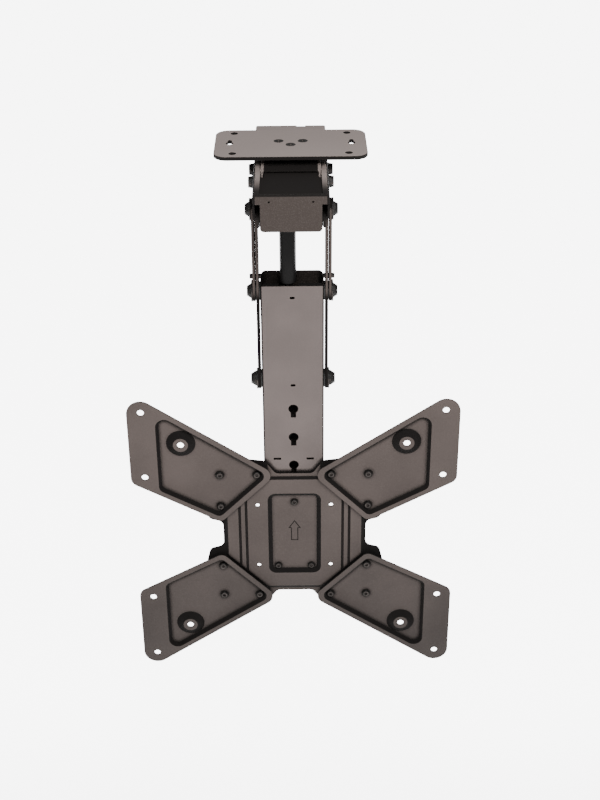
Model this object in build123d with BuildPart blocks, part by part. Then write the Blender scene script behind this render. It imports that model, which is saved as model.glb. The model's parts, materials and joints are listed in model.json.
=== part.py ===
"""Fold-down ceiling mount for a television.

A ceiling plate carries a swivelling bracket. An arm hangs from the bracket on
two stub pivots and folds back and up under the ceiling, helped by a gas strut.
A pressed centre plate with four pressed wings holds the screen.
Millimetres, +Z up, the front faces -Y. The origin is the centre of the ceiling
plate's top face.
"""
import os
from math import atan2, cos, degrees, radians, sin

from build123d import *

os.makedirs("parts", exist_ok=True)

# Fits
RUNNING = 0.05          # radial clearance of a bearing or sliding fit
LOOSE = 0.25            # radial clearance of a bolt in a plain hole

# Ceiling plate
PLATE_W = 182.0
PLATE_D = 98.0
PLATE_T = 4.5
PLATE_R = 16.0
PLATE_EDGE = 0.6        # rounding of the plate's sharp edges
CORNER_PITCH_X = 137.0
CORNER_PITCH_Y = 72.0
CORNER_HOLE_D = 9.0
KEY_OUT = 4.5           # the side keyholes stand this much further out
KEY_SLOT_W = 5.0
KEY_SLOT_L = 9.0
HUB_SCREW_D = 6.0
HUB_SCREW_HEAD = 12.0
HUB_SCREW_X = 14.5
HUB_SCREW_REAR = 7.5
HUB_SCREW_FRONT = -5.5

# Swivel
HUB_D = 56.0
HUB_T = 5.0
SPINDLE_D = 20.0
THREAD_D = 16.0
GLIDE_T = 2.0
GLIDE_D = 50.0
YOKE_T = 3.0
WASHER_D = 40.0
WASHER_T = 2.5
LOCKNUT_AF = 24.0
LOCKNUT_H = 13.0
SPINDLE_END = 2.0       # thread standing out of the locknut

# Channel under the plate
CHANNEL_W = 87.5
CHANNEL_T = 2.5
CHANNEL_TOP = -14.0
CHANNEL_BOTTOM = -45.0
CHANNEL_FRONT = -130.5
CHANNEL_REAR = 107.0
LIP_W = 8.0
BRIDGE_L = 45.0
NOTCH_X = 13.0
NOTCH_W = 11.0
NOTCH_L = 3.0

# Yoke flanges inside the channel
YOKE_FRONT = -73.0
YOKE_SLOPE_END = -30.0
YOKE_REAR = 32.0
YOKE_LOW = -40.0
YOKE_NOSE = -16.0
YOKE_SIDE_GAP = 0.15    # between the yoke and the lips' inner edges
YOKE_BOLT_Z = -30.5
SPACER_D = 14.0
LINER_T = 2.0           # black plate under the lips
LINER_GAP = 0.7
LINER_HUB_GAP = 3.0
YOKE_BOLT_Y = (-49.0, -6.5)

# Front plate
FRONT_T = 2.5
FRONT_LOW = -59.4
FRONT_NECK_W = 71.0
FRONT_EAR_LOW = -26.5
FRONT_CORNER_R = 4.5
FRONT_MARK_X = 25.0
FRONT_MARK_Z = -23.0
FRONT_MARK_D = 2.4

# Pivot bracket
CHEEK_T = 3.0
CHEEK_SIDE = 0.15       # the cheeks stand this much inside the arm's width
CHEEK_R = 19.0
CHEEK_NOSE = -55.0
PIVOT_Z = -84.0
MIDDLE_Z = -194.0
LOWER_Z = -320.0

# Bars of the arm
BAR_T = 3.7
BAR_OFF = 1.45          # between the arm's side and the inner bar
BAR_GAP = 0.8           # between the two bars of a side
GLIDE_INSET = 1.5       # a glide ring ends this far inside a bar's edge
BAR_W = 27.0
BAR_EDGE = 0.5
DISC_D = 27.5
DISC_T = 2.0
CAP_AF = 16.0
CAP_H = 5.4

# Hexagon bolts
BOLT_D = 8.0
BOLT_AF = 13.0
BOLT_HEAD = 5.3
FLAT_WASHER_D = 15.5
FLAT_WASHER_T = 1.4
NUT_H = 6.5
THREAD_OUT = 1.5        # thread standing out of a nut

# Arm
ARM_W = 80.3
ARM_FRONT = -13.0
ARM_REAR = 15.0
ARM_TOP = -182.0
ARM_BACK_TOP = -173.0
ARM_BOTTOM = -632.0
ARM_T = 2.5
COVER_T = 1.5
COVER_RETURN = 7.0
STRUT_ROOM = 2.0        # beside the strut in the cover's top fold
COVER_R = 7.0
SLOT_W = 6.5
SLOT_H = 3.3
SLOT_Z = (-198.7, -324.3)
KEY_TOP_Z = -359.7
KEY_PITCH = 43.3
KEY_COUNT = 6
KEY_D = 13.0
KEY_NECK_W = 7.0
KEY_NECK_L = 13.0
SIDE_SLOT_X = 22.0
SIDE_SLOT_W = 10.0
SIDE_SLOT_H = 3.0
SIDE_SLOT_Z = -436.6
BACK_FOLD = 9.0         # the arm's sides rise to its back over this depth

# Rivets through the bars
RIVET_UP = 22.0         # above the middle pivot
RIVET_Y = -4.0
RIVET_D = 4.0
RIVET_HEAD_D = 6.5
RIVET_HEAD_H = 3.6
RIVET_INNER_H = 3.0
RIVET_EDGE = 0.8

# Gas strut
STRUT_X = -5.0
STRUT_DROP = 11.0       # upper pin below the arm's pivot
STRUT_PIN_D = 6.0
STRUT_LOW_Y = 1.0
STRUT_LOW_Z = -342.0
STRUT_D = 21.0
STRUT_WALL = 1.6
STRUT_CAP = 10.0
STRUT_TUBE = 87.0       # from the upper pin to the tube's lower end
STRUT_NECK = 9.0
EYE_W = 8.0
EYE_R = 7.5
ROD_D = 7.0
ROD_IN = 40.0           # rod inside the tube at rest
PISTON_L = 8.0
LOW_EYE_R = 9.5
LOW_EYE_BORE = 12.6

# Screen plate
SCREEN_Z = -557.0       # centre of the hole patterns
SHEET_T = 2.0
WING_FRONT = 25.0       # front plane of the wings, in front of the origin
PAN_DEEP = 5.5
PAN_TAPER = 35.0
PAN_RIM = 7.0
TAB_W = 37.0            # plain outer tab of a wing
TAB_EDGE = 19.0         # from the outer holes to the tab's end
RIM_RADII = (19.0, 14.0, 10.0, 13.0)
PAN_RADII = (12.0, 10.0, 8.0, 10.0)
TUB_RADII = (13.2, 11.2, 9.2, 11.2)
WING_TOP_LINE = 86.75   # heights of the wing's edge lines at the middle of the plate
WING_TOP_SLOPE = 0.668
WING_LOW_LINE = -27.3
WING_LOW_SLOPE = 0.54
WING_IN_LINE = 126.5    # the wing's inner edge line, falling outwards
WING_IN_SLOPE = 1.0
PLATE_SHIFT = 2.3       # the centre plate's middle above the middle of the holes
NOTCH_SIDE_X = 98.0
NOTCH_SIDE_Z = 20.0
NOTCH_TOP_X = 25.0
NOTCH_TOP_Z = 97.5
EAR_X = 117.0
EAR_LOW = 25.0
EAR_BULGE = 122.0
EAR_MID = 45.0
EAR_HIGH = 112.0
EAR_TOP_X = 39.0
EAR_TOP = 117.0
EAR_FAR_X = 72.0
EAR_FAR = 121.0
EAR_R = 9.0
HOLE_400 = 200.0
HOLE_300 = 150.0
HOLE_200 = 100.0
HOLE_100 = 50.0
SCREEN_HOLE_D = 9.0
SMALL_HOLE_D = 5.5
BOSS_BASE_R = 19.5
BOSS_TOP_R = 10.0
RAISE = 2.0             # raised field of the centre plate
FIELD_X = 96.0          # foot of the raised field at the sides
FIELD_Z = 93.0          # and at the top and bottom
FIELD_LEAN = 65.0       # slope of the field's edge, from upright
FIELD_UNDER = 4.3       # the field's foot reaches this far under a wing's edge
FIELD_R = 8.0
GROOVE_X = (66.0, 75.0)
GROOVE_W = 3.6
GROOVE_DEEP = 1.2
GROOVE_LEAN = 25.0
GROOVE_UNDER = 2.5
RECESS_W = 61.0         # floor of the recess
RECESS_H = 121.0
RECESS_R = 5.0
RECESS_LEAN = 52.0
WING_SCREWS = ((100.0, 100.0), (50.0, 100.0), (100.0, 50.0))
M6_D = 6.0
BUTTON_D = 10.5
BUTTON_H = 3.2
SOCKET_D = 4.0
SOCKET_DEEP = 1.8
M6_NUT_AF = 10.0
M6_NUT_H = 4.0
PANEL_SCREW_TOP = 10.3  # from the recess floor's upper edge
PANEL_SCREW_LOW = 4.7   # from its lower edge
PANEL_SCREW_SIDE = 7.5  # from its sides
PANEL_SCREW_D = 5.0
PANEL_HEAD_D = 9.0
PANEL_HEAD_H = 2.6
BACKING_T = 3.0
BACKING_EDGE = 9.0
ARROW_TIP = 22.0
ARROW_HEAD = 9.0
ARROW_FOOT = -11.4
ARROW_W = 17.0
ARROW_STEM = 10.0
ARROW_LINE = 1.2
ARROW_DEEP = 0.4

# Stacked heights and places worked out from the sizes above
HUB_TOP = -PLATE_T
UPPER_GLIDE_TOP = HUB_TOP - HUB_T
YOKE_TOP = UPPER_GLIDE_TOP - GLIDE_T
LOWER_GLIDE_TOP = YOKE_TOP - YOKE_T
STEEL_TOP = LOWER_GLIDE_TOP - GLIDE_T
LOCKNUT_TOP = STEEL_TOP - WASHER_T
LOCKNUT_LOW = LOCKNUT_TOP - LOCKNUT_H
CHANNEL_IN = CHANNEL_W / 2 - CHANNEL_T
ARM_HALF = ARM_W / 2
ARM_IN = ARM_HALF - ARM_T
CHEEK_OUT = ARM_HALF - CHEEK_SIDE
CHEEK_IN = CHEEK_OUT - CHEEK_T
INNER_BAR_IN = ARM_HALF + BAR_OFF
OUTER_BAR_IN = INNER_BAR_IN + BAR_T + BAR_GAP
YOKE_OUT = CHANNEL_W / 2 - LIP_W - YOKE_SIDE_GAP
YOKE_IN = YOKE_OUT - YOKE_T
LINER_TOP = CHANNEL_TOP - CHANNEL_T
COVER_BACK = ARM_FRONT + COVER_T
STRUT_TOP_Z = PIVOT_Z - STRUT_DROP
TAB_OUT = HOLE_400 + TAB_EDGE
PAN_FRONT = WING_FRONT - PAN_DEEP
PAN_BACK = PAN_FRONT - SHEET_T
EAR_BACK = PAN_BACK - SHEET_T
FIELD_FRONT = PAN_BACK + RAISE
RECESS_FRONT = -ARM_FRONT + SHEET_T
RIVET_Z = MIDDLE_Z + RIVET_UP
PANEL_X = RECESS_W / 2 - PANEL_SCREW_SIDE
PANEL_HIGH_Z = PLATE_SHIFT + RECESS_H / 2 - PANEL_SCREW_TOP
PANEL_LOW_Z = PLATE_SHIFT - RECESS_H / 2 + PANEL_SCREW_LOW
PANEL_SCREWS = ((0.0, PANEL_HIGH_Z), (-PANEL_X, PANEL_LOW_Z), (PANEL_X, PANEL_LOW_Z))
STRUT_DROP_L = STRUT_TOP_Z - STRUT_LOW_Z
STRUT_SPAN = (STRUT_DROP_L**2 + STRUT_LOW_Y**2) ** 0.5
ROD_DIR = (0, -STRUT_LOW_Y, STRUT_DROP_L)
ROD_TOP = STRUT_SPAN - STRUT_TUBE + ROD_IN
FIELD_LINE = WING_IN_LINE + FIELD_UNDER * (1 + WING_IN_SLOPE**2) ** 0.5
BOSS_LEAN = degrees(atan2(BOSS_BASE_R - BOSS_TOP_R, PAN_DEEP))


def side_plane(side, out, y, z):
    """A plane that faces outwards on one side of the mount."""
    return Plane(origin=(side * out, y, z), x_dir=(0, side, 0), z_dir=(side, 0, 0))


def screen_plane(forward):
    """A plane that faces the front, centred on the hole patterns."""
    return Plane(origin=(0, -forward, SCREEN_Z), x_dir=(1, 0, 0), z_dir=(0, -1, 0))


def front_plane(y):
    """A plane that faces the front, in the heights of the whole mount."""
    return Plane(origin=(0, y, 0), x_dir=(1, 0, 0), z_dir=(0, -1, 0))


def ring(seat, outer_d, inner_d, thick, round_over=0.0):
    """A washer or disc that stands on its seat plane."""
    with BuildPart() as washer:
        with BuildSketch(seat):
            Circle(outer_d / 2)
            Circle(inner_d / 2, mode=Mode.SUBTRACT)
        extrude(amount=thick)
        if round_over:
            top = washer.faces().sort_by(Axis(seat.origin, seat.z_dir))[-1]
            chamfer(top.outer_wire().edges(), round_over)
    return washer.part


def hex_bolt(seat, diameter, across, head, grip):
    """A hexagon bolt with its head standing on the seat and its shank behind it."""
    with BuildPart() as bolt:
        with BuildSketch(seat):
            RegularPolygon(radius=across / 2, side_count=6, major_radius=False)
        extrude(amount=head)
        with BuildSketch(seat):
            Circle(across / 2 + 0.9)
        extrude(amount=head, taper=12, mode=Mode.INTERSECT)
        with BuildSketch(seat):
            Circle(diameter / 2)
        extrude(amount=-grip)
    return bolt.part


def hex_nut(seat, bore, across, height):
    """A hexagon nut that stands on its seat plane."""
    with BuildPart() as nut:
        with BuildSketch(seat):
            RegularPolygon(radius=across / 2, side_count=6, major_radius=False)
            Circle(bore / 2, mode=Mode.SUBTRACT)
        extrude(amount=height)
    return nut.part


def cap_nut(seat, bore, deep):
    """A low cap nut: a hexagon with a domed top and a blind bore."""
    with BuildPart() as nut:
        with BuildSketch(seat):
            RegularPolygon(radius=CAP_AF / 2, side_count=6, major_radius=False)
        extrude(amount=CAP_H)
        with BuildSketch(seat):
            Circle(CAP_AF / 2 + 1.6)
        extrude(amount=CAP_H, taper=32, mode=Mode.INTERSECT)
        with BuildSketch(seat):
            Circle(bore / 2)
        extrude(amount=deep, mode=Mode.SUBTRACT)
    return nut.part


def button_screw(seat, diameter, head_d, head_h, grip):
    """A button-head screw with a hexagon socket."""
    with BuildPart() as screw:
        with BuildSketch(seat):
            Circle(head_d / 2)
        extrude(amount=head_h)
        top = screw.faces().sort_by(Axis(seat.origin, seat.z_dir))[-1]
        fillet(top.outer_wire().edges(), head_h * 0.62)
        with BuildSketch(seat.offset(head_h - SOCKET_DEEP)):
            RegularPolygon(radius=SOCKET_D / 2, side_count=6, major_radius=False)
        extrude(amount=SOCKET_DEEP, mode=Mode.SUBTRACT)
        with BuildSketch(seat):
            Circle(diameter / 2)
        extrude(amount=-grip)
    return screw.part


def group(pieces):
    """Several like pieces as one set of separate solids."""
    with BuildPart() as pile:
        for piece in pieces:
            add(piece)
    return pile.part


def keep(part, label):
    """Names a finished piece and writes its file."""
    part.label = label
    export_step(part, f"parts/{label}.step")


# Ceiling plate with countersunk hub screws and keyholes at the sides
with BuildPart() as ceiling_plate:
    with BuildSketch(Plane.XY.offset(-PLATE_T)):
        RectangleRounded(PLATE_W, PLATE_D, PLATE_R)
        with GridLocations(CORNER_PITCH_X, CORNER_PITCH_Y, 2, 2):
            Circle(CORNER_HOLE_D / 2, mode=Mode.SUBTRACT)
        with GridLocations(CORNER_PITCH_X + 2 * KEY_OUT, 0, 2, 1):
            Circle(CORNER_HOLE_D / 2, mode=Mode.SUBTRACT)
            with Locations((0, KEY_SLOT_L / 2)):
                SlotCenterToCenter(KEY_SLOT_L, KEY_SLOT_W, rotation=90, mode=Mode.SUBTRACT)
    extrude(amount=PLATE_T)
    outline = ceiling_plate.faces().filter_by(Axis.Z).sort_by(Axis.Z)
    chamfer(outline[-1].outer_wire().edges(), PLATE_EDGE)
    chamfer(outline[0].outer_wire().edges(), PLATE_EDGE)
    hub_screw_spots = (
        (-HUB_SCREW_X, HUB_SCREW_REAR),
        (HUB_SCREW_X, HUB_SCREW_REAR),
        (0, HUB_SCREW_FRONT),
    )
    with Locations(*[(x, y, 0) for x, y in hub_screw_spots]):
        CounterSinkHole(HUB_SCREW_D / 2 + RUNNING, HUB_SCREW_HEAD / 2 + RUNNING, PLATE_T)
keep(ceiling_plate.part, "ceiling_plate")

# Hub: a flange under the plate and a spindle with a threaded end
with BuildPart() as swivel_hub:
    with BuildSketch(Plane.XY.offset(HUB_TOP)):
        Circle(HUB_D / 2)
    extrude(amount=-HUB_T)
    with BuildSketch(Plane.XY.offset(UPPER_GLIDE_TOP)):
        Circle(SPINDLE_D / 2)
    extrude(amount=LOWER_GLIDE_TOP - GLIDE_T - UPPER_GLIDE_TOP)
    with BuildSketch(Plane.XY.offset(STEEL_TOP)):
        Circle(THREAD_D / 2)
    extrude(amount=LOCKNUT_LOW - SPINDLE_END - STEEL_TOP)
    chamfer(swivel_hub.edges().group_by(Axis.Z)[0], 1.2)
    with BuildSketch(Plane.XY.offset(HUB_TOP)):
        with Locations(*hub_screw_spots):
            Circle(HUB_SCREW_D / 2 + RUNNING)
    extrude(amount=-HUB_T, mode=Mode.SUBTRACT)
keep(swivel_hub.part, "swivel_hub")


def hub_screw(x, y):
    """A countersunk screw, flush with the ceiling plate."""
    cone_h = (HUB_SCREW_HEAD - HUB_SCREW_D) / 2
    end = -PLATE_T - HUB_T + 0.5
    with BuildPart() as screw:
        with BuildSketch(Plane(origin=(x, y, 0), x_dir=(1, 0, 0), z_dir=(0, -1, 0))):
            with BuildLine():
                Polyline(
                    (0, 0), (HUB_SCREW_HEAD / 2, 0), (HUB_SCREW_D / 2, -cone_h),
                    (HUB_SCREW_D / 2, end), (0, end), close=True,
                )
            make_face()
        revolve(axis=Axis((x, y, 0), (0, 0, 1)))
        with BuildSketch(Plane(origin=(x, y, -2.2))):
            RegularPolygon(radius=SOCKET_D / 2, side_count=6, major_radius=False)
        extrude(amount=2.2, mode=Mode.SUBTRACT)
    return screw.part


keep(group([hub_screw(x, y) for x, y in hub_screw_spots]), "hub_screws")
keep(ring(Plane.XY.offset(LOCKNUT_TOP), WASHER_D, THREAD_D + 2 * RUNNING, WASHER_T), "swivel_washer")
keep(
    hex_nut(Plane.XY.offset(LOCKNUT_LOW), THREAD_D + 2 * RUNNING, LOCKNUT_AF, LOCKNUT_H),
    "swivel_locknut",
)
glide_bore = SPINDLE_D + 2 * RUNNING
keep(ring(Plane.XY.offset(YOKE_TOP), GLIDE_D, glide_bore, GLIDE_T), "upper_glide")
keep(ring(Plane.XY.offset(STEEL_TOP), GLIDE_D, glide_bore, GLIDE_T), "lower_glide")

# Yoke: a folded bridge that drops two flanges inside the channel
with BuildPart() as yoke:
    with BuildSketch(Plane.YZ.offset(-YOKE_OUT)):
        with BuildLine():
            Polyline(
                (YOKE_FRONT, YOKE_LOW), (YOKE_FRONT, YOKE_NOSE), (YOKE_SLOPE_END, YOKE_TOP),
                (YOKE_REAR, YOKE_TOP), (YOKE_REAR, YOKE_LOW), close=True,
            )
        make_face()
    extrude(amount=2 * YOKE_OUT)
    with BuildSketch(Plane.YZ.offset(-YOKE_IN)):
        with Locations(((YOKE_FRONT + YOKE_REAR) / 2, (YOKE_LOW + LOWER_GLIDE_TOP) / 2)):
            Rectangle(2 * (YOKE_REAR - YOKE_FRONT), LOWER_GLIDE_TOP - YOKE_LOW)
    extrude(amount=2 * YOKE_IN, mode=Mode.SUBTRACT)
    with BuildSketch(Plane.XY.offset(YOKE_TOP)):
        Circle(SPINDLE_D / 2 + RUNNING)
    extrude(amount=-YOKE_T, mode=Mode.SUBTRACT)
    with BuildSketch(Plane.YZ.offset(-YOKE_OUT)):
        with Locations(*[(y, YOKE_BOLT_Z) for y in YOKE_BOLT_Y]):
            Circle(BOLT_D / 2 + LOOSE)
    extrude(amount=2 * YOKE_OUT, mode=Mode.SUBTRACT)
    rim_edges = yoke.edges().filter_by(Axis.Y).group_by(Axis.Z)[-1]
    fillet(rim_edges, YOKE_T * 0.8)
keep(yoke.part, "yoke")

# Channel: floor, two walls and turned-in lips
with BuildPart() as channel:
    with BuildSketch(Plane.XZ.offset(-CHANNEL_FRONT)):
        with Locations((0, (CHANNEL_TOP + CHANNEL_BOTTOM) / 2)):
            Rectangle(CHANNEL_W, CHANNEL_TOP - CHANNEL_BOTTOM)
        fillet(vertices(), 3.0)
        with Locations((0, (CHANNEL_TOP + CHANNEL_BOTTOM) / 2)):
            RectangleRounded(
                2 * CHANNEL_IN, CHANNEL_TOP - CHANNEL_BOTTOM - 2 * CHANNEL_T, 0.6, mode=Mode.SUBTRACT
            )
        with Locations((0, CHANNEL_TOP)):
            Rectangle(CHANNEL_W - 2 * LIP_W, 4 * CHANNEL_T, mode=Mode.SUBTRACT)
    extrude(amount=CHANNEL_FRONT - CHANNEL_REAR)
    with BuildSketch(Plane.XY.offset(CHANNEL_TOP)):
        with Locations((0, CHANNEL_REAR - BRIDGE_L / 2)):
            Rectangle(CHANNEL_W, BRIDGE_L)
    extrude(amount=-CHANNEL_T, mode=Mode.SUBTRACT)
    with BuildSketch(Plane.YZ.offset(-CHANNEL_W / 2)):
        with Locations(*[(y, YOKE_BOLT_Z) for y in YOKE_BOLT_Y]):
            Circle(BOLT_D / 2 + LOOSE)
    extrude(amount=CHANNEL_W, mode=Mode.SUBTRACT)
keep(channel.part, "channel")

# Liner: a black plate under the lips that closes the channel in front of the hub
liner_step = YOKE_FRONT - LINER_GAP
with BuildPart() as channel_liner:
    with BuildSketch(Plane.XY.offset(LINER_TOP)):
        with Locations((0, (CHANNEL_FRONT + liner_step) / 2)):
            Rectangle(2 * (CHANNEL_IN - LINER_GAP), liner_step - CHANNEL_FRONT)
        with Locations((0, liner_step / 2)):
            Rectangle(2 * (YOKE_IN - LINER_GAP), -liner_step)
        Circle(GLIDE_D / 2 + LINER_HUB_GAP, mode=Mode.SUBTRACT)
    extrude(amount=-LINER_T)
keep(channel_liner.part, "channel_liner")

# Rear bridge: a plate that closes the channel's top behind the ceiling plate
with BuildPart() as rear_bridge:
    with BuildSketch(Plane.XY.offset(CHANNEL_TOP - CHANNEL_T)):
        with Locations((0, CHANNEL_REAR - BRIDGE_L / 2)):
            Rectangle(CHANNEL_W, BRIDGE_L)
        fillet(vertices().group_by(Axis.Y)[-1], 3.0)
        with Locations((NOTCH_X, CHANNEL_REAR - NOTCH_L / 2)):
            Rectangle(NOTCH_W, NOTCH_L, mode=Mode.SUBTRACT)
    extrude(amount=CHANNEL_T)
    chamfer(rear_bridge.faces().sort_by(Axis.Z)[-1].outer_wire().edges(), 0.4)
keep(rear_bridge.part, "rear_bridge")

# Front plate: closes the channel's end, narrower below the side ears
with BuildPart() as front_plate:
    with BuildSketch(Plane.XZ.offset(-CHANNEL_FRONT)):
        with Locations((0, (CHANNEL_TOP + FRONT_EAR_LOW) / 2)):
            RectangleRounded(CHANNEL_W, CHANNEL_TOP - FRONT_EAR_LOW, 3.0)
        with Locations((0, (CHANNEL_TOP - CHANNEL_T + FRONT_LOW) / 2)):
            RectangleRounded(FRONT_NECK_W, CHANNEL_TOP - CHANNEL_T - FRONT_LOW, FRONT_CORNER_R)
    extrude(amount=FRONT_T)
    front_face = front_plate.faces().filter_by(Axis.Y).sort_by(Axis.Y)[0]
    chamfer(front_face.outer_wire().edges(), 0.5)
    with BuildSketch(Plane.XZ.offset(-CHANNEL_FRONT)):
        with Locations((-FRONT_MARK_X, FRONT_MARK_Z), (FRONT_MARK_X, FRONT_MARK_Z)):
            Circle(FRONT_MARK_D / 2)
    extrude(amount=FRONT_T, mode=Mode.SUBTRACT)
keep(front_plate.part, "front_plate")

# Pivot bracket: a folded saddle under the channel with two cheeks
with BuildPart() as pivot_bracket:
    with BuildSketch(Plane.YZ.offset(-CHEEK_OUT)):
        with Locations((0, PIVOT_Z)):
            Circle(CHEEK_R)
        with BuildLine():
            Polyline(
                (CHANNEL_FRONT, CHANNEL_BOTTOM), (CHANNEL_FRONT, CHEEK_NOSE),
                (CHEEK_R * cos(radians(250)), PIVOT_Z + CHEEK_R * sin(radians(250))),
                (CHEEK_R, PIVOT_Z), (CHEEK_R, CHANNEL_BOTTOM), close=True,
            )
        make_face()
    extrude(amount=2 * CHEEK_OUT)
    with BuildSketch(Plane.YZ.offset(-CHEEK_IN)):
        with Locations(((CHANNEL_FRONT + CHEEK_R) / 2, CHANNEL_BOTTOM - CHEEK_T - CHEEK_R * 2)):
            Rectangle(2 * (CHEEK_R - CHANNEL_FRONT), CHEEK_R * 4)
    extrude(amount=2 * CHEEK_IN, mode=Mode.SUBTRACT)
    with BuildSketch(Plane.YZ.offset(-CHEEK_OUT)):
        with Locations((0, PIVOT_Z)):
            Circle(BOLT_D / 2 + RUNNING)
        with Locations((0, STRUT_TOP_Z)):
            Circle(STRUT_PIN_D / 2 + RUNNING)
    extrude(amount=2 * CHEEK_OUT, mode=Mode.SUBTRACT)
keep(pivot_bracket.part, "pivot_bracket")

# Hexagon bolts that clamp the channel to the yoke
yoke_seats = [
    (side, y) for side in (-1, 1) for y in YOKE_BOLT_Y
]
flat_seat = CHANNEL_W / 2
head_seat = flat_seat + FLAT_WASHER_T
bolt_grip = head_seat - YOKE_IN + NUT_H + THREAD_OUT
washer_bore = BOLT_D + 2 * LOOSE
yoke_washers = []
yoke_spacers = []
yoke_bolts = []
yoke_nuts = []
for side, y in yoke_seats:
    washer_seat = side_plane(side, flat_seat, y, YOKE_BOLT_Z)
    yoke_washers.append(ring(washer_seat, FLAT_WASHER_D, washer_bore, FLAT_WASHER_T))
    bolt_seat = side_plane(side, head_seat, y, YOKE_BOLT_Z)
    yoke_bolts.append(hex_bolt(bolt_seat, BOLT_D, BOLT_AF, BOLT_HEAD, bolt_grip))
    spacer_seat = side_plane(side, YOKE_OUT, y, YOKE_BOLT_Z)
    yoke_spacers.append(ring(spacer_seat, SPACER_D, washer_bore, CHANNEL_IN - YOKE_OUT))
    nut_seat = side_plane(side, YOKE_IN - NUT_H, y, YOKE_BOLT_Z)
    yoke_nuts.append(hex_nut(nut_seat, BOLT_D + 2 * RUNNING, BOLT_AF, NUT_H))
keep(group(yoke_washers), "yoke_washers")
keep(group(yoke_spacers), "yoke_spacers")
keep(group(yoke_bolts), "yoke_bolts")
keep(group(yoke_nuts), "yoke_nuts")


outer_face = OUTER_BAR_IN + BAR_T
inner_face = INNER_BAR_IN + BAR_T


def bar(side, near_face, low_z, label):
    """A flat link with round ends and a hole for each pivot it reaches."""
    with BuildPart() as link:
        with BuildSketch(side_plane(side, near_face, 0, (PIVOT_Z + low_z) / 2)):
            SlotCenterToCenter(PIVOT_Z - low_z, BAR_W, rotation=90)
        extrude(amount=BAR_T)
        chamfer(link.faces().filter_by(Axis.X).edges(), BAR_EDGE)
        holes = [z for z in (PIVOT_Z, MIDDLE_Z, LOWER_Z) if z >= low_z]
        for z in holes:
            with BuildSketch(side_plane(side, near_face, 0, z)):
                Circle(BOLT_D / 2 + RUNNING)
            extrude(amount=BAR_T, mode=Mode.SUBTRACT)
        with BuildSketch(side_plane(side, near_face, RIVET_Y, RIVET_Z)):
            Circle(RIVET_D / 2 + RUNNING)
        extrude(amount=BAR_T, mode=Mode.SUBTRACT)
    keep(link.part, label)


for side, name in ((-1, "left"), (1, "right")):
    bar(side, INNER_BAR_IN, LOWER_Z, f"long_bar_{name}")
    bar(side, OUTER_BAR_IN, MIDDLE_Z, f"short_bar_{name}")

# Pivot stacks: bolt, thin glides, disc and cap nut on each side
def pivot_set(z, wall_in, wall_out, bars_out, packers, prefix):
    """The bolts, glides, discs and cap nuts of one pair of pivots."""
    bolts, glides, discs, nuts = [], [], [], []
    bore = BOLT_D + 2 * RUNNING
    disc_out = bars_out + DISC_T * packers
    for side in (-1, 1):
        seat = side_plane(-side, -wall_in, 0, z)
        bolts.append(hex_bolt(seat, BOLT_D, BOLT_AF, BOLT_HEAD, disc_out + CAP_H * 0.6 - wall_in))
        glides.append(ring(side_plane(side, wall_out, 0, z), BAR_W - 2 * GLIDE_INSET, bore, INNER_BAR_IN - wall_out))
        if bars_out > inner_face:
            gap = OUTER_BAR_IN - inner_face
            glides.append(ring(side_plane(side, inner_face, 0, z), BAR_W - 2 * GLIDE_INSET, bore, gap))
        discs.append(ring(side_plane(side, bars_out, 0, z), DISC_D, bore, DISC_T, 0.5))
        if packers > 1:
            discs.append(ring(side_plane(side, bars_out + DISC_T, 0, z), CAP_AF + 4, bore, DISC_T))
        nuts.append(cap_nut(side_plane(side, disc_out, 0, z), bore, CAP_H * 0.7))
    keep(group(bolts), f"{prefix}_pivot_bolts")
    keep(group(glides), f"{prefix}_pivot_glides")
    first = discs[::packers]
    keep(group(first), f"{prefix}_pivot_discs")
    if packers > 1:
        keep(group(discs[1::packers]), f"{prefix}_pivot_packers")
    keep(group(nuts), f"{prefix}_cap_nuts")


pivot_set(PIVOT_Z, CHEEK_IN, CHEEK_OUT, outer_face, 1, "upper")
pivot_set(MIDDLE_Z, ARM_IN, ARM_HALF, outer_face, 1, "middle")
pivot_set(LOWER_Z, ARM_IN, ARM_HALF, inner_face, 2, "lower")

# Arm channel: a back and two sides, taller at the back
with BuildPart() as arm_channel:
    with BuildSketch(Plane.XY.offset(ARM_BACK_TOP)):
        with Locations((0, (COVER_BACK + ARM_REAR) / 2)):
            Rectangle(ARM_W, ARM_REAR - COVER_BACK)
        fillet(vertices().group_by(Axis.Y)[-1], 4.0)
        with Locations((0, (COVER_BACK - ARM_T) / 2)):
            Rectangle(2 * ARM_IN, 2 * (ARM_REAR - ARM_T) - COVER_BACK + ARM_T, mode=Mode.SUBTRACT)
    extrude(amount=ARM_BOTTOM - ARM_BACK_TOP)
    with BuildSketch(front_plane(ARM_REAR)):
        with Locations((0, (ARM_BACK_TOP + ARM_BOTTOM) / 2)):
            Rectangle(ARM_W, ARM_BACK_TOP - ARM_BOTTOM)
        fillet(vertices().group_by(Axis.Z)[-1], COVER_R)
    extrude(amount=ARM_REAR - COVER_BACK, mode=Mode.INTERSECT)
    with BuildSketch(Plane.YZ.offset(-ARM_HALF)):
        with BuildLine():
            Polyline(
                (COVER_BACK, ARM_TOP), (ARM_REAR - BACK_FOLD, ARM_BACK_TOP), (COVER_BACK, ARM_BACK_TOP),
                close=True,
            )
        make_face()
        with Locations((0, MIDDLE_Z), (0, LOWER_Z)):
            Circle(BOLT_D / 2 + RUNNING)
        with Locations((STRUT_LOW_Y, STRUT_LOW_Z)):
            Circle(STRUT_PIN_D / 2 + RUNNING)
    extrude(amount=ARM_W, mode=Mode.SUBTRACT)
keep(arm_channel.part, "arm_channel")

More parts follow.
